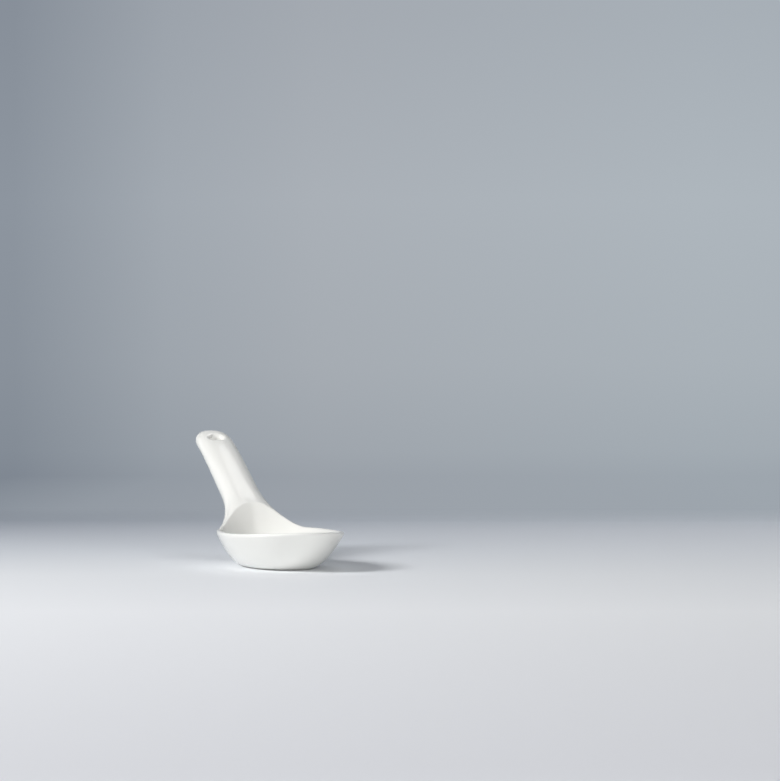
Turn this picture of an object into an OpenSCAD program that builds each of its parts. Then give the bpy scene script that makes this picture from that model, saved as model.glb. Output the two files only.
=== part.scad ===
// Japanese soup spoon in glazed porcelain, cast in one piece: an egg-shaped bowl on a flat foot, and a
// short thick handle that fans out of the bowl's rear rim and ends in a rounded tip with a hanging hole.
// The origin is the middle of the foot, on the table. +X points to the tip of the bowl and +Z is up.

/* [Bowl] */
// Length of the bowl's opening, from the inner edge at the tip to the ridge under the handle
bowl_length = 69; // [65:0.5:75]
// Width of the bowl's opening
bowl_width = 41.5; // [39:0.5:46]
// How much narrower the bowl is towards the handle
bowl_taper = 0.1; // [0:0.02:0.2]
// How far the middle of the opening lies in front of the middle of the foot
bowl_forward = 4; // [2:0.5:6]
// Height of the rim's inner edge at the sides
rim_height = 13; // [11:0.2:14.4]
// How much higher the rim is at the tip than at the sides
tip_lift = 1.3; // [0:0.1:2.5]
// Thickness of the wall at the rim
rim_wall = 1.6; // [1.5:0.1:2.8]
// Thickness of the wall at the rim beside the handle
neck_wall = 1.5; // [1.2:0.1:2.4]
// How far the rounded rim stands above its inner edge
rim_crown = 1; // [0.8:0.1:1.4]
// How far the rim's outer edge lies below its inner edge
rim_drop = 1; // [0.6:0.1:1.6]
// Height of the ridge between the bowl and the handle
ridge_height = 23.5; // [21:0.5:27]
// Angle round the bowl, from the tip, at which the rim starts to climb to the ridge
rise_start = 122; // [116:1:132]
// Angle round the bowl, from the tip, at which the rim has reached the ridge
rise_end = 176; // [164:1:180]
// Thickness of the bowl's floor
floor_thickness = 3.5; // [2.5:0.25:4.5]
// Share of the way from the middle to the tip, and to the ridge, that the floor stays flat
floor_reach = 0.66; // [0.5:0.02:0.75]
// Share of the way from the middle to the sides that the floor stays flat
floor_spread = 0.6; // [0.45:0.02:0.7]
// Softness of the bend between the floor and the wall
floor_bend = 0.16; // [0.08:0.02:0.24]

/* [Foot] */
// Length of the flat foot
foot_length = 46.5; // [40:0.5:50]
// Width of the flat foot
foot_width = 22.5; // [20:0.5:25]
// How much narrower the foot is towards the handle
foot_taper = 0.16; // [0:0.02:0.3]
// How far the edge of the foot curves up into the wall, as a share of the foot's size
foot_round = 0.36; // [0.24:0.02:0.44]
// How full the wall is between the foot and the rim
wall_fullness = 0.81; // [0.7:0.01:0.9]
// Height of the wall's fullest place, as a share of the rim's height
wall_belly = 0.68; // [0.54:0.02:0.74]

/* [Handle] */
// Distance from the middle of the foot back to the end of the handle
handle_reach = 94.5; // [88:0.5:101]
// Height of the middle of the handle's end
handle_rise = 48.5; // [45:0.5:52]
// Width of the handle along its shank
handle_width = 15.4; // [14:0.2:18]
// Width of the handle near its end
end_width = 15.4; // [14:0.2:18]
// Thickness of the handle along its shank
handle_thickness = 9.2; // [7.6:0.2:10]
// Thickness of the handle near its end
end_thickness = 6.4; // [6:0.2:8.6]
// Depth of the handle's middle line under the ridge
root_depth = 4.6; // [4:0.2:6]
// Slope of the handle where it leaves the ridge
root_slope = 7; // [0:1:12]
// Slope of the handle at its end
end_slope = 15; // [10:1:22]
// Length of the stretch that keeps the root's slope
root_pull = 10.5; // [9:0.5:16]
// Length of the stretch that keeps the end's slope
end_pull = 23; // [18:1:30]
// Length over which the handle's end is rounded, seen from above
end_round = 10.4; // [8:0.2:12]
// Length over which the handle's end is rounded, seen from the side
end_soft = 6.2; // [5:0.2:8]
// Angle of the fan, to each side, in which the handle grows out of the bowl
fan_angle = 48; // [46:1:56]

/* [Hanging hole] */
// Diameter of the hole
hole_d = 5; // [4:0.1:6]
// Diameter of the hole's softened mouth
mouth_d = 7.4; // [6.4:0.1:8.4]
// Depth of the softened mouth
mouth_depth = 1.3; // [1:0.1:1.8]
// Distance from the end of the handle to the hole's middle
hole_setback = 11; // [9.5:0.1:13]

/* [Hidden] */

// Counts of points: along each side of the bowl, across half the fan, and down each stretch of wall. The
// count across the rim is even, so that one ring of points lies along the rim's crest
side_steps = 26;
fan_steps = 9;
inner_steps = 13;
rim_steps = 6;
wall_steps = 10;
foot_steps = 2;
root_steps = 8;
shank_steps = 16;
end_steps = 7;
spine_steps = 32;

// Share of the outer wall, from the rim down, that the handle's root covers
root_cover = 0.4;
// How steeply the lower edge of the root's sides climbs the wall
side_lift = 0.15;
// Where the straight run of the handle's own section begins, as a share of its length
shank_start = 0.38;
// Where the rim's thickness starts to change towards the handle, as the share of the way back
neck_start = 0.2;
// How much closer together the inside's rings lie towards the rim
edge_crowding = 1.5;
// How far the rim's curve pulls up from its edges, in crowns, and how much more at the outer edge, in drops
rim_pull = 1.33;
drop_pull = 0.75;
// How far along the rounded end its last ring lies
last_ring = 0.995;
// Exponent of the handle's rounded section, and of its rounded end
section_power = 2.3;
end_power = 2.2;
// Half the angle that each side of the root takes in the handle's section
flank_angle = 28;

steps = 2 * (side_steps + fan_steps);
fan_first = side_steps;
fan_last = steps - side_steps;
half_width = bowl_width / 2;
ridge_x = bowl_forward - bowl_length / 2;

root_dir = [-cos(root_slope), 0, sin(root_slope)];
end_dir = [-cos(end_slope), 0, sin(end_slope)];

function smooth(v) = v * v * (3 - 2 * v);
function clamp(v) = min(max(v, 0), 1);
function mix(a, b, s) = a + (b - a) * s;
function unit(v) = v / norm(v);
function power(v, p) = sign(v) * pow(abs(v), p);
function vary(ends, sides, a) = mix(sides, ends, pow(cos(a), 2));

// Angles round the bowl: even along the sides, and even again across the fan
fan_start = 180 - fan_angle;
half_turn = concat(
    [for (i = [0:side_steps]) fan_start * i / side_steps],
    [for (i = [1:fan_steps]) fan_start + fan_angle * i / fan_steps]
);
turn = concat(half_turn, [for (i = [len(half_turn) - 2:-1:1]) 360 - half_turn[i]]);

// Egg outline about a middle on the X axis
function egg(a, middle, half_l, half_w, taper) =
    [middle + half_l * cos(a), half_w * sin(a) * exp(taper * cos(a))];

// Height of the rim's inner edge above the table, at an angle round the bowl. The ridge is the highest part
// of the rim, and its rounded crest stands a crown above that edge
function rim_z(a) =
    let (climb = smooth(clamp((180 - abs(a - 180) - rise_start) / (rise_end - rise_start))))
    mix(rim_height, ridge_height - rim_crown, climb) + tip_lift * pow(max(cos(a), 0), 2);

// Thickness of the wall at the rim, thinner beside the handle
function rim_at(a) = mix(rim_wall, neck_wall, smooth(clamp((-cos(a) - neck_start) / (1 - neck_start))));
function inner_edge(a) =
    let (p = egg(a, bowl_forward, bowl_length / 2, half_width, bowl_taper))
    [p.x, p.y, rim_z(a)];
function outer_edge(a) =
    let (w = rim_at(a), p = egg(a, bowl_forward, bowl_length / 2 + w, half_width + w, bowl_taper))
    [p.x, p.y, rim_z(a) - rim_drop];
function foot_edge(a) = egg(a, 0, foot_length / 2, foot_width / 2, foot_taper);

// Rise of the inside from the flat floor (0) to the rim (1), with a soft bend at the share g
function bend(v, g) = sqrt(pow(v - g, 2) + pow(floor_bend, 2)) + v - g;
function inside_rise(u, g) = (bend(u, g) - bend(0, g)) / (bend(1, g) - bend(0, g));

function inside_point(a, u) =
    let (e = inner_edge(a), g = vary(floor_reach, floor_spread, a))
    [e.x * u, e.y * u, mix(floor_thickness, e.z, inside_rise(u, g))];

// How fast the inside climbs where it reaches the rim, per whole way out
function inside_climb(a) =
    let (
        e = inner_edge(a),
        g = vary(floor_reach, floor_spread, a),
        bent = (1 - g) / sqrt(pow(1 - g, 2) + pow(floor_bend, 2)) + 1
    )
    [e.x, e.y, (e.z - floor_thickness) * bent / (bend(1, g) - bend(0, g))];

// Point that the outer wall heads for as it leaves the rim
function wall_aim(a) =
    let (o = outer_edge(a), f = foot_edge(a))
    [mix(f.x, o.x, wall_fullness), mix(f.y, o.y, wall_fullness), wall_belly * o.z];

// Rounded rim: a cubic curve that starts along the inside and ends along the outer wall
function rim_point(a, s) =
    let (
        e = inner_edge(a),
        o = outer_edge(a),
        pull = rim_crown * rim_pull,
        outer_pull = pull + rim_drop * drop_pull
    )
    cubic(e, e + unit(inside_climb(a)) * pull, o + unit(o - wall_aim(a)) * outer_pull, o, s);

// Outer wall: a cubic curve from the rim's outer edge down to the foot, flat where it meets the foot
function wall_point(a, s) =
    let (f = foot_edge(a), p2 = [f.x * (1 + foot_round), f.y * (1 + foot_round), 0], p3 = [f.x, f.y, 0])
    cubic(outer_edge(a), wall_aim(a), p2, p3, s);

function cubic(p0, p1, p2, p3, s) =
    p0 * pow(1 - s, 3) + p1 * 3 * s * pow(1 - s, 2) + p2 * 3 * s * s * (1 - s) + p3 * pow(s, 3);
function cubic_slope(p0, p1, p2, p3, s) =
    (p1 - p0) * 3 * pow(1 - s, 2) + (p2 - p1) * 6 * s * (1 - s) + (p3 - p2) * 3 * s * s;

bowl_rings = concat(
    [for (j = [1:inner_steps]) let (u = 1 - pow(1 - j / inner_steps, edge_crowding))
        [for (a = turn) inside_point(a, u)]],
    [for (j = [1:rim_steps]) [for (a = turn) rim_point(a, j / rim_steps)]],
    [for (j = [1:wall_steps]) [for (a = turn) wall_point(a, j / wall_steps)]],
    [for (j = [1:foot_steps - 1]) [for (a = turn)
        let (f = foot_edge(a), u = 1 - j / foot_steps) [f.x * u, f.y * u, 0]]]
);
crest_ring = inner_steps - 1 + rim_steps / 2;
root_ring = inner_steps + rim_steps - 1 + round(root_cover * wall_steps);

// Middle line of the handle, from under the ridge to the end
spine_0 = [ridge_x - root_depth * sin(root_slope), 0, ridge_height - root_depth * cos(root_slope)];
spine_3 = [-handle_reach, 0, handle_rise];
spine_1 = spine_0 + root_dir * root_pull;
spine_2 = spine_3 - end_dir * end_pull;

function spine(t) = cubic(spine_0, spine_1, spine_2, spine_3, t);
function spine_dir(t) = unit(cubic_slope(spine_0, spine_1, spine_2, spine_3, t));
function spine_up(t) = let (d = spine_dir(t)) [d.z, 0, -d.x];
function total(v, i = 0) = i < len(v) ? v[i] + total(v, i + 1) : 0;
spine_points = [for (i = [0:spine_steps]) spine(i / spine_steps)];
spine_length = total([for (i = [1:spine_steps]) norm(spine_points[i] - spine_points[i - 1])]);

// Edge of the opening in the bowl's skin that the handle grows out of, as [ring, meridian]: along the
// crest of the ridge, down one side, back under the rim and up the other side
root_loop = concat(
    [for (k = [fan_first:fan_last]) [crest_ring, k]],
    [for (j = [crest_ring + 1:root_ring]) [j, fan_last]],
    [for (k = [fan_last - 1:-1:fan_first]) [root_ring, k]],
    [for (j = [root_ring - 1:-1:crest_ring + 1]) [j, fan_first]]
);
top_count = fan_last - fan_first;
flank_count = root_ring - crest_ring;
section_angles = concat(
    [for (i = [0:top_count]) mix(flank_angle, 180 - flank_angle, i / top_count)],
    [for (i = [1:flank_count]) mix(180 - flank_angle, 180 + flank_angle, i / flank_count)],
    [for (i = [1:top_count]) mix(180 + flank_angle, 360 - flank_angle, i / top_count)],
    [for (i = [1:flank_count - 1]) mix(360 - flank_angle, 360 + flank_angle, i / flank_count)]
);

// Direction in which the skin leaves a point of the root's edge. The two sides carry on along the rim
// and, lower down, more and more up the wall. Between them the direction turns to the handle's slope on
// the ridge, and straight up the wall underneath
function along_ring(j, k) =
    unit(bowl_rings[j][k] - bowl_rings[j][k <= steps / 2 ? k - 1 : k + 1]);
function up_wall(j, k) = unit(bowl_rings[j][k] - bowl_rings[j + 1][k]);
function side_dir(j, k) =
    unit(along_ring(j, k) + up_wall(j, k) * side_lift * (j - crest_ring) / (root_ring - crest_ring));
function side_share(k) = abs(turn[k] - 180) / fan_angle;
function nearest_side(k) = k <= steps / 2 ? fan_first : fan_last;
function root_dir_at(j, k) =
    j == crest_ring ? unit(mix(root_dir, along_ring(j, nearest_side(k)), side_share(k)))
    : j == root_ring ? unit(mix(up_wall(j, k), side_dir(j, k), side_share(k)))
    : side_dir(j, k);

// Full size (1) along the shank, falling to nothing at the handle's end like the end of an oval
function rounded(share_left) = pow(1 - pow(clamp(1 - share_left), end_power), 1 / end_power);

// Width and thickness of the handle along the shank, before its end is rounded
function shank_share(t) = clamp((t - shank_start) / (1 - shank_start));
function width_at(t) = mix(handle_width, end_width, smooth(shank_share(t)));
function thickness_at(t) = mix(handle_thickness, end_thickness, shank_share(t));

function handle_ring(t) =
    let (
        left = (1 - t) * spine_length,
        w = width_at(t) / 2 * rounded(left / end_round),
        h = thickness_at(t) / 2 * rounded(left / end_soft),
        middle = spine(t),
        up = spine_up(t)
    )
    [for (a = section_angles)
        middle + up * h * power(sin(a), 2 / section_power) + [0, w * power(cos(a), 2 / section_power), 0]];

// Skin between the root's edge and the first ring of the shank, tangent to both
shank_ring = handle_ring(shank_start);
shank_dir = spine_dir(shank_start);
function root_point(i, s) =
    let (
        j = root_loop[i][0],
        k = root_loop[i][1],
        from = bowl_rings[j][k],
        reach = norm(shank_ring[i] - from) / 3
    )
    cubic(from, from + root_dir_at(j, k) * reach, shank_ring[i] - shank_dir * reach, shank_ring[i], s);

end_start = 1 - end_round / spine_length;
handle_rings = concat(
    [for (n = [1:root_steps - 1]) [for (i = [0:len(root_loop) - 1]) root_point(i, n / root_steps)]],
    [for (n = [0:shank_steps]) handle_ring(mix(shank_start, end_start, n / shank_steps))],
    [for (n = [1:end_steps]) handle_ring(mix(end_start, 1, min(sin(90 * n / end_steps), last_ring)))]
);

// Numbering of the points: the bowl's rings, the handle's rings, then the three middle points
foot_ring = len(bowl_rings) - 1;
loop_size = len(root_loop);
bowl_size = len(bowl_rings) * steps;
first_end = bowl_size + (len(handle_rings) - 1) * loop_size;
middle_inside = bowl_size + len(handle_rings) * loop_size;
middle_foot = middle_inside + 1;
middle_end = middle_inside + 2;
function bowl_index(j, k) = j * steps + k % steps;
function handle_index(n, i) =
    n < 0 ? bowl_index(root_loop[i % loop_size][0], root_loop[i % loop_size][1])
    : bowl_size + n * loop_size + i % loop_size;
function in_root(j, k) = j >= crest_ring && j < root_ring && k >= fan_first && k < fan_last;

// Two triangles for the four corners of a patch, with the short cut mirrored from side to side
function patch(a, b, c, d, mirrored) = mirrored ? [[a, b, d], [b, c, d]] : [[a, b, c], [a, c, d]];

skin_points = concat(
    [for (ring = bowl_rings) each ring],
    [for (ring = handle_rings) each ring],
    [[0, 0, floor_thickness], [0, 0, 0], spine_3]
);
skin_faces = concat(
    [for (j = [0:foot_ring - 1], k = [0:steps - 1]) if (!in_root(j, k))
        each patch(bowl_index(j, k), bowl_index(j, k + 1), bowl_index(j + 1, k + 1), bowl_index(j + 1, k),
            k < steps / 2)],
    [for (n = [-1:len(handle_rings) - 2], i = [0:loop_size - 1])
        each patch(handle_index(n, i), handle_index(n, i + 1), handle_index(n + 1, i + 1),
            handle_index(n + 1, i), cos(section_angles[i]) > 0)],
    [for (k = [0:steps - 1]) [middle_inside, bowl_index(0, k + 1), bowl_index(0, k)]],
    [for (k = [0:steps - 1]) [middle_foot, bowl_index(foot_ring, k), bowl_index(foot_ring, k + 1)]],
    [for (i = [0:loop_size - 1]) [first_end + i, first_end + (i + 1) % loop_size, middle_end]]
);

module body() {
    polyhedron(skin_points, skin_faces, convexity = 6);
}

// Hole across the thin side of the handle, with a softened mouth on each face
hole_t = 1 - hole_setback / spine_length;
hole_tilt = asin(spine_dir(hole_t).z);
mouth_face = thickness_at(hole_t) / 2;
module hanging_hole() {
    translate(spine(hole_t)) rotate([0, hole_tilt, 0]) {
        cylinder(d = hole_d, h = 4 * mouth_face, center = true, $fn = 48);
        for (side = [0, 180])
            rotate([side, 0, 0])
                translate([0, 0, mouth_face - mouth_depth])
                    cylinder(d1 = hole_d, d2 = 2 * mouth_d - hole_d, h = 2 * mouth_depth, $fn = 48);
    }
}

module spoon() {
    color("#f2f2ee")
        difference() {
            body();
            hanging_hole();
        }
}

spoon();
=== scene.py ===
import math

import bpy
import numpy as np
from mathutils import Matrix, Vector


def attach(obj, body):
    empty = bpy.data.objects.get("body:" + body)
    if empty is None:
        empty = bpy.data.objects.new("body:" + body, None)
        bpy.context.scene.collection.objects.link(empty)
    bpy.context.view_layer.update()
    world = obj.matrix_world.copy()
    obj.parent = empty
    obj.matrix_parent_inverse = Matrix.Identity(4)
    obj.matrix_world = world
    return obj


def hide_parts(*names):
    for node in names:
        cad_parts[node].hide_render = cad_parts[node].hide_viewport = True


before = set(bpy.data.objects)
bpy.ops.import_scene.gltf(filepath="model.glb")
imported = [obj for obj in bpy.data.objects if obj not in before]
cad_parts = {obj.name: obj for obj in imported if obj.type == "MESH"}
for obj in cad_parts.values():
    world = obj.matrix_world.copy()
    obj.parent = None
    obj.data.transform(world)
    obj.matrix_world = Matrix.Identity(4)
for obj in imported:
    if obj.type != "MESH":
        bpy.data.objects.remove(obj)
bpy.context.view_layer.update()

MM = 0.001

# Bowl: sizes in millimetres and angles in degrees round the bowl, counted from its tip
BOWL_LENGTH, BOWL_WIDTH, BOWL_TAPER, BOWL_FORWARD = 69.0, 41.5, 0.1, 4.0
RIM_HEIGHT, TIP_LIFT, RIM_WALL, NECK_WALL = 13.0, 1.3, 1.6, 1.5
RIM_CROWN, RIM_PULL, RIM_DROP, DROP_PULL = 1.0, 1.33, 1.0, 0.75
RIDGE_HEIGHT, RISE_START, RISE_END = 23.5, 122.0, 176.0
FLOOR_THICKNESS, FLOOR_REACH, FLOOR_SPREAD, FLOOR_BEND = 3.5, 0.66, 0.6, 0.16

# Foot and outer wall
FOOT_LENGTH, FOOT_WIDTH, FOOT_TAPER, FOOT_ROUND = 46.5, 22.5, 0.16, 0.36
WALL_FULLNESS, WALL_BELLY = 0.81, 0.68

# Handle
HANDLE_REACH, HANDLE_RISE = 94.5, 48.5
HANDLE_WIDTH, END_WIDTH, HANDLE_THICKNESS, END_THICKNESS = 15.4, 15.4, 9.2, 6.4
ROOT_DEPTH, ROOT_SLOPE, END_SLOPE, ROOT_PULL, END_PULL = 4.6, 7.0, 15.0, 10.5, 23.0
END_ROUND, END_SOFT, FAN_ANGLE = 10.4, 6.2, 48.0
CREST_PLACE, ROOT_COVER, SIDE_LIFT, SHANK_START, NECK_START = 0.3, 0.4, 0.15, 0.38, 0.2
SECTION_POWER, END_POWER, FLANK_ANGLE = 2.3, 2.2, 28.0

# Hanging hole, with the width at which the glaze starts to round into it
HOLE_WIDTH, MOUTH_WIDTH, MOUTH_DEPTH, HOLE_SETBACK = 5.0, 8.6, 1.6, 11.0

# Counts of points: round the bowl, down its wall, along the handle and round the hole
SIDE_STEPS, FAN_STEPS, INNER_STEPS, RIM_STEPS, WALL_STEPS, FOOT_STEPS = 60, 24, 26, 10, 20, 4
ROOT_STEPS, SHANK_STEPS, END_STEPS, SPINE_STEPS = 20, 32, 16, 64
HOLE_COLUMNS, HOLE_RINGS, MOUTH_RINGS, BORE_RINGS = 13, 6, 8, 3

# Spacing: rings crowd towards the lip, and the last one stops just short of the handle's end
LIP_CROWDING, LAST_RING = 1.5, 0.998

# Millimetres that the window for the hanging hole reaches either way along the handle
WINDOW_REACH = 5.4

# Rounds in which a point on the handle's face is brought to its place
FACE_ROUNDS = 4


def smooth(v):
    return v * v * (3 - 2 * v)


def clamp(v):
    return min(max(v, 0.0), 1.0)


def mix(a, b, share):
    return a + (b - a) * share


def unit(v):
    return v / np.linalg.norm(v)


def power(v, p):
    """Power of a number, with the number's own sign kept."""
    return math.copysign(abs(v) ** p, v)


def cosd(a):
    return math.cos(math.radians(a))


def sind(a):
    return math.sin(math.radians(a))


def cubic(p0, p1, p2, p3, s):
    """Place on a curve that leaves p0 towards p1 and reaches p3 from p2."""
    return p0 * (1 - s) ** 3 + p1 * 3 * s * (1 - s) ** 2 + p2 * 3 * s * s * (1 - s) + p3 * s ** 3


def cubic_slope(p0, p1, p2, p3, s):
    return (p1 - p0) * 3 * (1 - s) ** 2 + (p2 - p1) * 6 * s * (1 - s) + (p3 - p2) * 3 * s * s


# Bowl
STEPS = 2 * (SIDE_STEPS + FAN_STEPS)
FAN_FIRST, FAN_LAST = SIDE_STEPS, STEPS - SIDE_STEPS
CREST_RING = INNER_STEPS - 1 + round(CREST_PLACE * RIM_STEPS)
ROOT_RING = INNER_STEPS + RIM_STEPS - 1 + round(ROOT_COVER * WALL_STEPS)
FAN_START = 180 - FAN_ANGLE
half_turn = [FAN_START * i / SIDE_STEPS for i in range(SIDE_STEPS + 1)]
half_turn += [FAN_START + FAN_ANGLE * i / FAN_STEPS for i in range(1, FAN_STEPS + 1)]
TURN = half_turn + [360 - a for a in half_turn[-2:0:-1]]
ROOT_DIR = np.array([-cosd(ROOT_SLOPE), 0, sind(ROOT_SLOPE)])
END_DIR = np.array([-cosd(END_SLOPE), 0, sind(END_SLOPE)])


def egg(a, middle, half_length, half_width, taper):
    """Place on an egg's outline, which is wider towards the tip when the taper is above 0."""
    return middle + half_length * cosd(a), half_width * sind(a) * math.exp(taper * cosd(a))


def rim_z(a):
    """Height of the rim: level along the sides, up to the ridge at the back and a little up at the tip."""
    climb = smooth(clamp((180 - abs(a - 180) - RISE_START) / (RISE_END - RISE_START)))
    return mix(RIM_HEIGHT, RIDGE_HEIGHT - RIM_CROWN, climb) + TIP_LIFT * max(cosd(a), 0) ** 2


def rim_width(a):
    return mix(RIM_WALL, NECK_WALL, smooth(clamp((-cosd(a) - NECK_START) / (1 - NECK_START))))


def inner_edge(a):
    x, y = egg(a, BOWL_FORWARD, BOWL_LENGTH / 2, BOWL_WIDTH / 2, BOWL_TAPER)
    return np.array([x, y, rim_z(a)])


def outer_edge(a):
    width = rim_width(a)
    x, y = egg(a, BOWL_FORWARD, BOWL_LENGTH / 2 + width, BOWL_WIDTH / 2 + width, BOWL_TAPER)
    return np.array([x, y, rim_z(a) - RIM_DROP])


def foot_edge(a):
    x, y = egg(a, 0, FOOT_LENGTH / 2, FOOT_WIDTH / 2, FOOT_TAPER)
    return np.array([x, y, 0.0])


def floor_share(a):
    """How far out the bowl's floor stays flat, as a share of the way to the rim."""
    return mix(FLOOR_SPREAD, FLOOR_REACH, cosd(a) ** 2)


def bend(share, flat):
    """A line that lies flat and then climbs, with a soft bend between."""
    return math.sqrt((share - flat) ** 2 + FLOOR_BEND ** 2) + share - flat


def inside_climb(a):
    """Direction in which the bowl's inside reaches the rim."""
    edge, flat = inner_edge(a), floor_share(a)
    slope = (1 - flat) / math.sqrt((1 - flat) ** 2 + FLOOR_BEND ** 2) + 1
    return np.array([
        edge[0], edge[1], (edge[2] - FLOOR_THICKNESS) * slope / (bend(1, flat) - bend(0, flat))])


def inside_point(a, share):
    edge, flat = inner_edge(a), floor_share(a)
    rise = (bend(share, flat) - bend(0, flat)) / (bend(1, flat) - bend(0, flat))
    return np.array([edge[0] * share, edge[1] * share, mix(FLOOR_THICKNESS, edge[2], rise)])


def wall_aim(a):
    """Point that the outer wall heads for as it leaves the rim."""
    aim = mix(foot_edge(a), outer_edge(a), WALL_FULLNESS)
    aim[2] = WALL_BELLY * outer_edge(a)[2]
    return aim


def rim_point(a, s):
    """Place on the lip, which runs on from the inside, over its crown and into the outer wall."""
    inner, outer, pull = inner_edge(a), outer_edge(a), RIM_CROWN * RIM_PULL
    back = pull + RIM_DROP * DROP_PULL
    return cubic(
        inner, inner + unit(inside_climb(a)) * pull, outer + unit(outer - wall_aim(a)) * back, outer, s)


def wall_point(a, s):
    """Place on the outer wall, which bellies out under the rim and tucks in to the foot."""
    foot = foot_edge(a)
    return cubic(outer_edge(a), wall_aim(a), foot * (1 + FOOT_ROUND), foot, s)


def bowl_skin():
    """Rings of the bowl's skin: up the inside, over the rim, down the wall and in under the foot."""
    shares = [1 - (1 - j / INNER_STEPS) ** LIP_CROWDING for j in range(1, INNER_STEPS + 1)]
    rings = [[inside_point(a, u) for a in TURN] for u in shares]
    rings += [[rim_point(a, j / RIM_STEPS) for a in TURN] for j in range(1, RIM_STEPS + 1)]
    rings += [[wall_point(a, j / WALL_STEPS) for a in TURN] for j in range(1, WALL_STEPS + 1)]
    rings += [[foot_edge(a) * (1 - j / FOOT_STEPS) for a in TURN] for j in range(1, FOOT_STEPS)]
    return np.array(rings)


# Handle
RIDGE_X = BOWL_FORWARD - BOWL_LENGTH / 2
SPINE_0 = np.array([
    RIDGE_X - ROOT_DEPTH * sind(ROOT_SLOPE), 0, RIDGE_HEIGHT - ROOT_DEPTH * cosd(ROOT_SLOPE)])
SPINE_3 = np.array([-HANDLE_REACH, 0, HANDLE_RISE])
SPINE_1 = SPINE_0 + ROOT_DIR * ROOT_PULL
SPINE_2 = SPINE_3 - END_DIR * END_PULL


def spine(t):
    return cubic(SPINE_0, SPINE_1, SPINE_2, SPINE_3, t)


def spine_dir(t):
    return unit(cubic_slope(SPINE_0, SPINE_1, SPINE_2, SPINE_3, t))


def spine_up(t):
    d = spine_dir(t)
    return np.array([d[2], 0, -d[0]])


SPINE_POINTS = [spine(i / SPINE_STEPS) for i in range(SPINE_STEPS + 1)]
SPINE_LENGTH = sum(np.linalg.norm(b - a) for a, b in zip(SPINE_POINTS, SPINE_POINTS[1:]))
HOLE_T = 1 - HOLE_SETBACK / SPINE_LENGTH


def rounded(share_left):
    """Share of the full width or thickness that is left on the way to the handle's rounded end."""
    return (1 - clamp(1 - share_left) ** END_POWER) ** (1 / END_POWER)


def shank_share(t):
    """Share of the way from where the shank starts to the handle's end."""
    return clamp((t - SHANK_START) / (1 - SHANK_START))


def half_width_at(t):
    full = mix(HANDLE_WIDTH, END_WIDTH, smooth(shank_share(t)))
    return full / 2 * rounded((1 - t) * SPINE_LENGTH / END_ROUND)


def half_thickness_at(t):
    full = mix(HANDLE_THICKNESS, END_THICKNESS, shank_share(t))
    return full / 2 * rounded((1 - t) * SPINE_LENGTH / END_SOFT)


# Edge of the handle's root on the bowl: along the lip's crest, down one side, back below and up the other
ROOT_LOOP = [(CREST_RING, k) for k in range(FAN_FIRST, FAN_LAST + 1)]
ROOT_LOOP += [(j, FAN_LAST) for j in range(CREST_RING + 1, ROOT_RING + 1)]
ROOT_LOOP += [(ROOT_RING, k) for k in range(FAN_LAST - 1, FAN_FIRST - 1, -1)]
ROOT_LOOP += [(j, FAN_FIRST) for j in range(ROOT_RING - 1, CREST_RING, -1)]
TOP, FLANK, LOOP = FAN_LAST - FAN_FIRST, ROOT_RING - CREST_RING, len(ROOT_LOOP)

# Angles round the handle's section, one for each point of the root's edge: top, flank, underside, flank
SECTION = [mix(FLANK_ANGLE, 180 - FLANK_ANGLE, i / TOP) for i in range(TOP + 1)]
SECTION += [mix(180 - FLANK_ANGLE, 180 + FLANK_ANGLE, i / FLANK) for i in range(1, FLANK + 1)]
SECTION += [mix(180 + FLANK_ANGLE, 360 - FLANK_ANGLE, i / TOP) for i in range(1, TOP + 1)]
SECTION += [mix(360 - FLANK_ANGLE, 360 + FLANK_ANGLE, i / FLANK) for i in range(1, FLANK)]


def handle_ring(t):
    """Section of the handle: a rounded box, its corners set by the section's power."""
    middle, up, w, h, p = spine(t), spine_up(t), half_width_at(t), half_thickness_at(t), 2 / SECTION_POWER
    return [
        middle + up * h * power(sind(a), p) + np.array([0, w * power(cosd(a), p), 0])
        for a in SECTION
    ]


def root_directions(bowl):
    """Direction in which the handle's skin leaves each point of the root's edge."""
    def along_ring(j, k):
        return unit(bowl[j][k] - bowl[j][k - 1 if k <= STEPS / 2 else k + 1])

    def up_wall(j, k):
        return unit(bowl[j][k] - bowl[j + 1][k])

    def side_dir(j, k):
        return unit(along_ring(j, k) + up_wall(j, k) * SIDE_LIFT * (j - CREST_RING) / FLANK)

    directions = []
    for j, k in ROOT_LOOP:
        side = abs(TURN[k] - 180) / FAN_ANGLE
        corner = FAN_FIRST if k <= STEPS / 2 else FAN_LAST
        if j == CREST_RING:
            # In the middle the skin leaves level with the lip, and towards the sides it is let go
            way = mix(ROOT_DIR, along_ring(j, corner), side)
            out = unit(np.cross(bowl[j + 1][k] - bowl[j - 1][k], along_ring(j, k)))
            directions.append(unit(way - out * (way @ out) * (1 - side ** 2)))
        elif j == ROOT_RING:
            directions.append(unit(mix(up_wall(j, k), side_dir(j, k), side)))
        else:
            directions.append(side_dir(j, k))
    return directions


def handle_skin(bowl):
    """Rings of the handle's skin from the root to the end, and the place of each along the spine."""
    first, slope = handle_ring(SHANK_START), spine_dir(SHANK_START)
    directions = root_directions(bowl)
    rings, places = [], []
    for n in range(1, ROOT_STEPS):
        s, ring = (n / ROOT_STEPS) ** LIP_CROWDING, []
        for (j, k), way, end in zip(ROOT_LOOP, directions, first):
            start, reach = bowl[j][k], np.linalg.norm(end - bowl[j][k]) / 3
            ring.append(cubic(start, start + way * reach, end - slope * reach, end, s))
        rings.append(ring)
        places.append(0.0)
    end_start = 1 - END_ROUND / SPINE_LENGTH
    for n in range(SHANK_STEPS + 1):
        places.append(mix(SHANK_START, end_start, n / SHANK_STEPS))
    for n in range(1, END_STEPS + 1):
        places.append(mix(end_start, 1, min(sind(90 * n / END_STEPS), LAST_RING)))
    rings += [handle_ring(t) for t in places[ROOT_STEPS - 1:]]
    return np.array(rings), places


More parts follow.
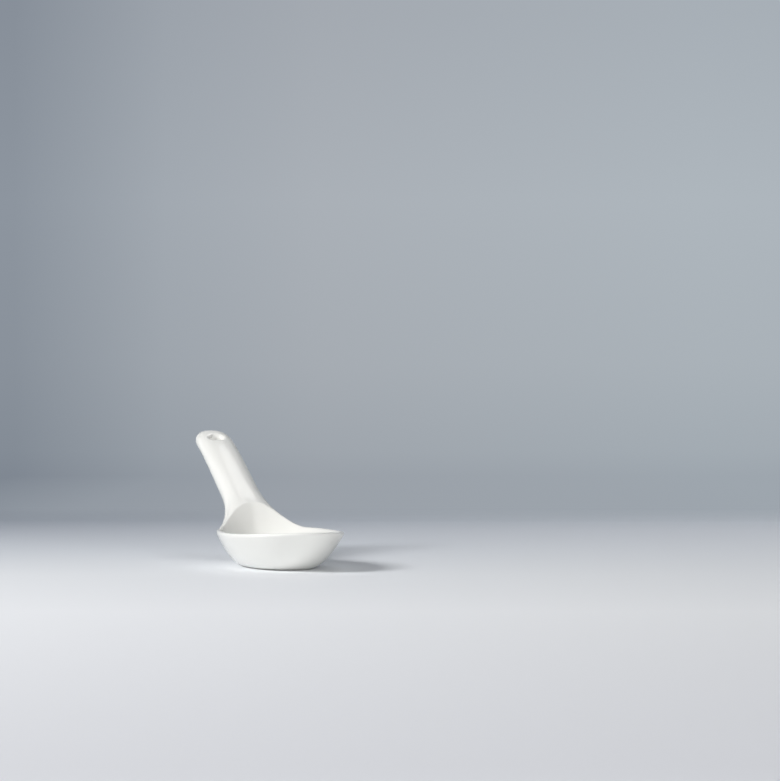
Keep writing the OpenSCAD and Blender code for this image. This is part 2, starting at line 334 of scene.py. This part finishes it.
def on_face(along, across, side):
    """Point on the handle's top (side 1) or underside (side -1), measured from the hole's middle."""
    centre, forward = spine(HOLE_T), spine_dir(HOLE_T)
    t = HOLE_T + along / SPINE_LENGTH
    for _ in range(FACE_ROUNDS):
        w, h = half_width_at(t), half_thickness_at(t)
        height = h * max(1 - abs(across / w) ** SECTION_POWER, 0) ** (1 / SECTION_POWER)
        point = spine(t) + spine_up(t) * height * side + np.array([0, across, 0])
        t += (along - (point - centre) @ forward) / SPINE_LENGTH
    return point


def hole_skin(window, side):
    """Rings from the edge of the window cut round the hole, over its rounded mouth and down to the bore."""
    centre, forward, up = spine(HOLE_T), spine_dir(HOLE_T), spine_up(HOLE_T)
    spots = [((p - centre) @ forward, p[1]) for p in window]
    angles = [math.atan2(across, along) for along, across in spots]
    mouth, bore = MOUTH_WIDTH / 2, HOLE_WIDTH / 2
    rings = []
    for n in range(1, HOLE_RINGS + 1):
        s = n / HOLE_RINGS
        rings.append([
            on_face(mix(along, mouth * math.cos(q), s), mix(across, mouth * math.sin(q), s), side)
            for (along, across), q in zip(spots, angles)
        ])

    # Mouth: a quarter turn from the handle's face down into the bore
    edge = [(p - centre) @ up * side for p in rings[-1]]
    wall_top = half_thickness_at(HOLE_T) - MOUTH_DEPTH
    for n in range(1, MOUTH_RINGS + 1):
        turn = 90 * n / MOUTH_RINGS
        radius = mouth - (mouth - bore) * sind(turn)
        rings.append([
            centre + forward * radius * math.cos(q) + np.array([0, radius * math.sin(q), 0])
            + up * side * (height - (height - wall_top) * (1 - cosd(turn)))
            for height, q in zip(edge, angles)
        ])
    return rings


def spoon_mesh():
    """The whole spoon as one closed skin, in metres."""
    bowl = bowl_skin()
    handle, places = handle_skin(bowl)

    points = [p for ring in bowl for p in ring] + [p for ring in handle for p in ring]
    bowl_size = len(bowl) * STEPS
    faces = []

    def bowl_index(j, k):
        return j * STEPS + k % STEPS

    def handle_index(n, i):
        if n < 0:
            return bowl_index(*ROOT_LOOP[i % LOOP])
        return bowl_size + n * LOOP + i % LOOP

    def join(last, new):
        faces.extend([last[m - 1], last[m], new[m], new[m - 1]] for m in range(len(new)))

    def add_ring(last, ring):
        new = list(range(len(points), len(points) + len(ring)))
        points.extend(ring)
        join(last, new)
        return new

    for j in range(len(bowl) - 1):
        for k in range(STEPS):
            if not (CREST_RING <= j < ROOT_RING and FAN_FIRST <= k < FAN_LAST):
                faces.append([
                    bowl_index(j, k), bowl_index(j, k + 1), bowl_index(j + 1, k + 1), bowl_index(j + 1, k)])

    # Window left out round the hanging hole, the same on the top and the underside
    near = max(n for n, t in enumerate(places) if t and (t - HOLE_T) * SPINE_LENGTH <= -WINDOW_REACH)
    far = min(n for n, t in enumerate(places) if t and (t - HOLE_T) * SPINE_LENGTH >= WINDOW_REACH)
    top_middle, under_middle = TOP // 2, TOP + FLANK + TOP // 2
    columns = range(-HOLE_COLUMNS, HOLE_COLUMNS)

    def in_window(n, i):
        return near <= n < far and (i - top_middle in columns or i - under_middle in columns)

    for n in range(-1, len(handle) - 1):
        for i in range(LOOP):
            if not in_window(n, i):
                faces.append([
                    handle_index(n, i), handle_index(n, i + 1),
                    handle_index(n + 1, i + 1), handle_index(n + 1, i)])

    bores = []
    for side, middle, step in ((1, top_middle, 1), (-1, under_middle, -1)):
        reach = HOLE_COLUMNS * step
        window = [handle_index(near, middle - reach + c * step) for c in range(2 * HOLE_COLUMNS)]
        window += [handle_index(n, middle + reach) for n in range(near, far)]
        window += [handle_index(far, middle + reach - c * step) for c in range(2 * HOLE_COLUMNS)]
        window += [handle_index(n, middle - reach) for n in range(far, near, -1)]
        last = window
        for ring in hole_skin([points[v] for v in window], side):
            last = add_ring(last, ring)
        bores.append(last)
    last = bores[0]
    for n in range(1, BORE_RINGS + 1):
        last = add_ring(last, [mix(points[a], points[b], n / (BORE_RINGS + 1)) for a, b in zip(*bores)])
    join(last, bores[1])

    # Middles of the bowl's floor, the foot and the handle's end
    middle_inside, middle_foot, middle_end = len(points), len(points) + 1, len(points) + 2
    points += [np.array([0, 0, FLOOR_THICKNESS]), np.zeros(3), SPINE_3]
    foot, end = len(bowl) - 1, len(handle) - 1
    faces += [[middle_inside, bowl_index(0, k + 1), bowl_index(0, k)] for k in range(STEPS)]
    faces += [[middle_foot, bowl_index(foot, k), bowl_index(foot, k + 1)] for k in range(STEPS)]
    faces += [[handle_index(end, i), handle_index(end, i + 1), middle_end] for i in range(LOOP)]

    used = sorted({v for f in faces for v in f})
    renumber = {v: m for m, v in enumerate(used)}
    mesh = bpy.data.meshes.new("spoon_skin")
    mesh.from_pydata([tuple(points[v] * MM) for v in used], [], [[renumber[v] for v in f] for f in faces])
    mesh.validate()
    return mesh


def make_spoon():
    mesh = spoon_mesh()
    piece = bpy.data.objects.new("spoon_body", mesh)
    bpy.context.scene.collection.objects.link(piece)
    bpy.context.view_layer.objects.active = piece
    piece.select_set(True)
    bpy.ops.object.mode_set(mode="EDIT")
    bpy.ops.mesh.select_all(action="SELECT")
    bpy.ops.mesh.normals_make_consistent(inside=False)
    bpy.ops.object.mode_set(mode="OBJECT")
    mesh.polygons.foreach_set("use_smooth", [True] * len(mesh.polygons))
    return piece


# Materials
def linear(hex_colour):
    """sRGB hex colour as linear light."""
    channels = [int(hex_colour[i:i + 2], 16) / 255 for i in (0, 2, 4)]
    light = [c / 12.92 if c <= 0.04045 else ((c + 0.055) / 1.055) ** 2.4 for c in channels]
    return (*light, 1.0)


def add_node(material, kind, inputs=None, stops=(), **settings):
    """Adds one node: its inputs are values or sockets to link from, its stops a ramp's places and colours."""
    made = material.node_tree.nodes.new(kind)
    for name, value in settings.items():
        setattr(made, name, value)
    for name, value in (inputs or {}).items():
        if isinstance(value, bpy.types.NodeSocket):
            material.node_tree.links.new(value, made.inputs[name])
        else:
            made.inputs[name].default_value = value
    for n, (at, colour) in enumerate(stops):
        stop = made.color_ramp.elements[n] if n < 2 else made.color_ramp.elements.new(at)
        stop.position, stop.color = at, linear(colour)
    return made


def new_material(name):
    material = bpy.data.materials.new(name)
    material.use_nodes = True
    material.node_tree.nodes.clear()
    return material


# Glaze: how wide its pools, ripples and orange peel are, and how high the last two stand, in millimetres
POOL_SIZE, RIPPLE_SIZE, PEEL_SIZE = 30.0, 6.0, 1.2
RIPPLE_HEIGHT, PEEL_HEIGHT = 0.12, 0.02

# Heights in millimetres up to which the foot is bare, and from which the glaze is whole
BARE_TO, GLAZED_FROM = 0.12, 0.3


def glazed_porcelain():
    """Glazed porcelain, cast in a plaster mould, dipped in clear glaze and fired: white with a warm cast
    and a soft wet gloss, faintly wavy in reflections. The foot is wiped bare before firing, so it is matt
    and chalky."""
    m = new_material("glazed_porcelain")
    place = add_node(m, "ShaderNodeTexCoord").outputs["Object"]
    pooling, ripple, peel = (
        add_node(m, "ShaderNodeTexNoise", {
            "Vector": place, "Scale": 1 / (size * MM), "Detail": detail}).outputs["Fac"]
        for size, detail in ((POOL_SIZE, 2.0), (RIPPLE_SIZE, 1.0), (PEEL_SIZE, 1.0)))
    height = add_node(m, "ShaderNodeSeparateXYZ", {"Vector": place}).outputs["Z"]
    glazed = add_node(m, "ShaderNodeMapRange", {
        "Value": height, "From Min": BARE_TO * MM, "From Max": GLAZED_FROM * MM},
        interpolation_type="SMOOTHSTEP").outputs["Result"]
    glaze = add_node(m, "ShaderNodeMix", {
        "Factor": pooling, "A": linear("F1F0EB"), "B": linear("EDEDE9")}, data_type="RGBA")
    colour = add_node(m, "ShaderNodeMix", {
        "Factor": glazed, "A": linear("E6E1D8"), "B": glaze.outputs["Result"]}, data_type="RGBA")
    gloss = add_node(m, "ShaderNodeMapRange", {
        "Value": ripple, "To Min": 0.13, "To Max": 0.2}).outputs["Result"]
    rough = add_node(m, "ShaderNodeMix", {"Factor": glazed, "A": 0.75, "B": gloss}, data_type="FLOAT")
    waves = add_node(m, "ShaderNodeBump", {
        "Height": ripple, "Strength": 0.25, "Distance": RIPPLE_HEIGHT * MM})
    skin = add_node(m, "ShaderNodeBump", {
        "Height": peel, "Strength": 0.2, "Distance": PEEL_HEIGHT * MM, "Normal": waves.outputs["Normal"]})
    shader = add_node(m, "ShaderNodeBsdfPrincipled", {
        "Base Color": colour.outputs["Result"], "Roughness": rough.outputs["Result"], "IOR": 1.5,
        "Normal": skin.outputs["Normal"]})
    add_node(m, "ShaderNodeOutputMaterial", {"Surface": shader.outputs["BSDF"]})
    return m


# Studio, laid out from where the photograph was taken: metres to the right, ahead and up
LOOK = Vector((-0.9404, 0.3402, 0.0))
RIGHT = Vector((0.3402, 0.9404, 0.0))
UP = Vector((0.0, 0.0, 1.0))
STAND = Vector((0.84769, -0.25968, 0.0))
SPOON_RIGHT, SPOON_AHEAD, SPOON_MIDDLE = -0.03, 0.88, 0.02
LAMP_DISTANCE = 1.1
WALL_AHEAD, SHEET_REACH, WALL_HEIGHT = 1.85, 12.0, 6.0

# Camera: its height in metres, how far its line of sight climbs for each metre ahead, and its lens
EYE_HEIGHT, SIGHT_CLIMB = 0.06594, 0.0012
SENSOR_WIDTH, LENS_IN_PIXELS, PICTURE_PIXELS = 36.0, 2315.2, 780


def seen_from_camera(right, ahead, up):
    return STAND + RIGHT * right + LOOK * ahead + UP * up


def set_camera():
    data = bpy.data.cameras.new("camera")
    data.sensor_fit = "HORIZONTAL"
    data.sensor_width = SENSOR_WIDTH
    data.lens = SENSOR_WIDTH * LENS_IN_PIXELS / PICTURE_PIXELS
    data.clip_start, data.clip_end = 0.01, 20.0
    camera = bpy.data.objects.new("camera", data)
    bpy.context.scene.collection.objects.link(camera)
    camera.location = seen_from_camera(0, 0, EYE_HEIGHT)
    aim = LOOK + UP * SIGHT_CLIMB
    camera.rotation_euler = aim.to_track_quat("-Z", "Y").to_euler()
    bpy.context.scene.camera = camera


def add_softbox(name, turn, lift, wide, tall, watts):
    """White softbox, turned to the right from the camera's side of the spoon and lifted, in degrees."""
    target = seen_from_camera(SPOON_RIGHT, SPOON_AHEAD, SPOON_MIDDLE)
    towards = (RIGHT * sind(turn) - LOOK * cosd(turn)) * cosd(lift) + UP * sind(lift)
    data = bpy.data.lights.new(name, "AREA")
    data.shape, data.size, data.size_y, data.energy = "RECTANGLE", wide, tall, watts
    lamp = bpy.data.objects.new(name, data)
    bpy.context.scene.collection.objects.link(lamp)
    lamp.location = target + towards * LAMP_DISTANCE
    lamp.rotation_euler = towards.to_track_quat("Z", "Y").to_euler()


def seen_directly(m):
    """1 for what the camera sees, by itself or in a gloss, and 0 for the light that falls on the spoon."""
    rays = add_node(m, "ShaderNodeLightPath").outputs
    seen = add_node(m, "ShaderNodeMath", {
        0: rays["Is Camera Ray"], 1: rays["Is Glossy Ray"]}, operation="MAXIMUM")
    return add_node(m, "ShaderNodeMath", {
        0: seen.outputs["Value"], 1: rays["Is Transmission Ray"]}, operation="MAXIMUM").outputs["Value"]


def light_studio():
    add_softbox("key_softbox", turn=-70, lift=34, wide=0.4, tall=0.4, watts=11.1)
    add_softbox("fill_softbox", turn=20, lift=14, wide=0.9, tall=0.5, watts=6.0)
    add_softbox("rear_softbox", turn=160, lift=62, wide=0.6, tall=0.6, watts=1.8)
    world = bpy.data.worlds.new("studio_air")
    bpy.context.scene.world = world
    world.use_nodes = True
    world.node_tree.nodes.clear()
    dim = add_node(world, "ShaderNodeBackground", {"Color": linear("E8ECF0"), "Strength": 0.03})
    shown = add_node(world, "ShaderNodeBackground", {"Color": linear("A6AEB5"), "Strength": 1.0})
    surface = add_node(world, "ShaderNodeMixShader", {
        0: seen_directly(world), 1: dim.outputs["Background"],
        2: shown.outputs["Background"]}).outputs["Shader"]
    add_node(world, "ShaderNodeOutputWorld", {"Surface": surface})


# Floor's colours on its left and on its right half, by metres ahead of the camera: the paper's near-white
# with painted light, lightest round the spoon, and painted shade in front of it and beyond
FLOOR_LEFT_PAINTED_LIGHT = (
    (0.41, "E6E7EB"), (0.7, "F3F4F7"), (0.84, "EBEDF0"),
    (0.974, "D2D6DC"), (1.117, "B4B9C2"), (1.2, "9FA6B0"))
FLOOR_RIGHT_PAINTED_LIGHT = (
    (0.41, "CCCDD2"), (0.7, "F7F8FA"), (0.84, "F6F8FB"),
    (0.974, "F3F6FB"), (1.117, "ECF0F7"), (1.2, "E2E8F0"))

# Painted shade that the floor's colours are multiplied by, by metres to the right: darker towards the key
# softbox, evening out the light it throws on the floor
FLOOR_PAINTED_SHADE_ACROSS = ((-0.8, "74777C"), (-0.4, "A9ACB0"), (-0.2, "FFFFFF"), (2.0, "FFFFFF"))

# Backdrop's blue-grey colour with painted light that lightens it to the right, by metres to the right, and
# the painted shade that it is multiplied by, by metres up, darkest where it meets the floor
WALL_COLOUR_AND_LIGHT_ACROSS = ((-0.3, "8D959F"), (-0.18, "A2A9B1"), (-0.06, "AAB0B7"), (0.25, "AEB6BD"))
WALL_PAINTED_SHADE_UP = ((0.0, "E8E9EB"), (0.02, "EFF0F1"), (0.09, "F9F9F9"), (0.22, "FFFFFF"), (0.37, "F6F6F7"))

# Metres over which the floor goes from left to right colours, and turns into backdrop ahead and all round
SIDES_BLEND, AHEAD_BLEND, ROUND_BLEND = (-0.2, 0.2), (1.18, 1.32), (0.6, 1.0)


def share_along(m, direction, low, high):
    """Share of the way from one distance to another, counted along a direction from under the camera."""
    place = add_node(m, "ShaderNodeNewGeometry").outputs["Position"]
    along = add_node(m, "ShaderNodeVectorMath", {
        0: place, 1: direction}, operation="DOT_PRODUCT").outputs["Value"]
    start = direction.dot(STAND)
    return add_node(m, "ShaderNodeMapRange", {
        "Value": along, "From Min": start + low, "From Max": start + high}).outputs["Result"]


def paper_with_painted_light(m, direction, tones):
    """Paper colour with painted light and shade, running through the given tones along a direction."""
    low, high = tones[0][0], tones[-1][0]
    stops = [((at - low) / (high - low), colour) for at, colour in tones]
    return add_node(m, "ShaderNodeValToRGB", {
        "Fac": share_along(m, direction, low, high)}, stops).outputs["Color"]


def backdrop_painted_light(m):
    """The backdrop's tone with its painted light and shade, shown as it is painted and lighting nothing."""
    tone_with_painted_light = add_node(m, "ShaderNodeMix", {
        "Factor": 1.0, "A": paper_with_painted_light(m, RIGHT, WALL_COLOUR_AND_LIGHT_ACROSS), "B": paper_with_painted_light(m, UP, WALL_PAINTED_SHADE_UP)},
        data_type="RGBA", blend_type="MULTIPLY").outputs["Result"]
    painted = add_node(m, "ShaderNodeEmission", {"Color": tone_with_painted_light, "Strength": 1.0}).outputs["Emission"]
    return painted, seen_directly(m)


def table_paper():
    """Matt laminated paper that the spoon stands on: nearly white, with painted light round the spoon and
    painted shade greyer away from it and towards the key softbox, and turning into the backdrop's tone where
    the two meet."""
    m = new_material("matt_paper")
    tone_with_painted_light = add_node(m, "ShaderNodeMix", {
        "Factor": share_along(m, RIGHT, *SIDES_BLEND), "A": paper_with_painted_light(m, LOOK, FLOOR_LEFT_PAINTED_LIGHT),
        "B": paper_with_painted_light(m, LOOK, FLOOR_RIGHT_PAINTED_LIGHT)}, data_type="RGBA").outputs["Result"]
    tone_with_painted_light = add_node(m, "ShaderNodeMix", {
        "Factor": 1.0, "A": tone_with_painted_light, "B": paper_with_painted_light(m, RIGHT, FLOOR_PAINTED_SHADE_ACROSS)},
        data_type="RGBA", blend_type="MULTIPLY").outputs["Result"]
    near = add_node(m, "ShaderNodeBsdfPrincipled", {"Base Color": tone_with_painted_light, "Roughness": 0.6}).outputs["BSDF"]
    painted, seen = backdrop_painted_light(m)
    away = add_node(m, "ShaderNodeVectorMath", {
        0: add_node(m, "ShaderNodeNewGeometry").outputs["Position"],
        1: seen_from_camera(SPOON_RIGHT, SPOON_AHEAD, 0)},
        operation="DISTANCE").outputs["Value"]
    around = add_node(m, "ShaderNodeMapRange", {
        "Value": away, "From Min": ROUND_BLEND[0], "From Max": ROUND_BLEND[1]}).outputs["Result"]
    far = add_node(m, "ShaderNodeMath", {
        0: share_along(m, LOOK, *AHEAD_BLEND), 1: around}, operation="MAXIMUM").outputs["Value"]
    share = add_node(m, "ShaderNodeMath", {0: far, 1: seen}, operation="MULTIPLY").outputs["Value"]
    surface = add_node(m, "ShaderNodeMixShader", {0: share, 1: near, 2: painted}).outputs["Shader"]
    add_node(m, "ShaderNodeOutputMaterial", {"Surface": surface})
    return m


def backdrop_paper():
    """Matt seamless paper behind the spoon, blue-grey, with painted light that makes it a little lighter to
    the right.
    """
    m = new_material("backdrop_paper")
    plain = add_node(m, "ShaderNodeBsdfDiffuse", {"Color": linear("A0A7B0")}).outputs["BSDF"]
    painted, seen = backdrop_painted_light(m)
    surface = add_node(m, "ShaderNodeMixShader", {0: seen, 1: plain, 2: painted}).outputs["Shader"]
    add_node(m, "ShaderNodeOutputMaterial", {"Surface": surface})
    return m


def add_sheet(name, corners, material):
    mesh = bpy.data.meshes.new(name)
    mesh.from_pydata([tuple(c) for c in corners], [], [(0, 1, 2, 3)])
    sheet = bpy.data.objects.new(name, mesh)
    bpy.context.scene.collection.objects.link(sheet)
    mesh.materials.append(material)


def build_studio():
    near, wall, left, right, top = -SHEET_REACH, WALL_AHEAD, -SHEET_REACH, SHEET_REACH, WALL_HEIGHT
    floor_corners = ((left, near), (right, near), (right, wall), (left, wall))
    wall_corners = ((left, 0), (right, 0), (right, top), (left, top))
    add_sheet("table", [seen_from_camera(r, a, 0) for r, a in floor_corners], table_paper())
    add_sheet("backdrop", [seen_from_camera(r, wall, u) for r, u in wall_corners], backdrop_paper())


spoon = make_spoon()
spoon.data.materials.append(glazed_porcelain())
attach(spoon, "root")
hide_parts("spoon")

set_camera()
light_studio()
build_studio()
bpy.context.scene.view_settings.view_transform = "Standard"
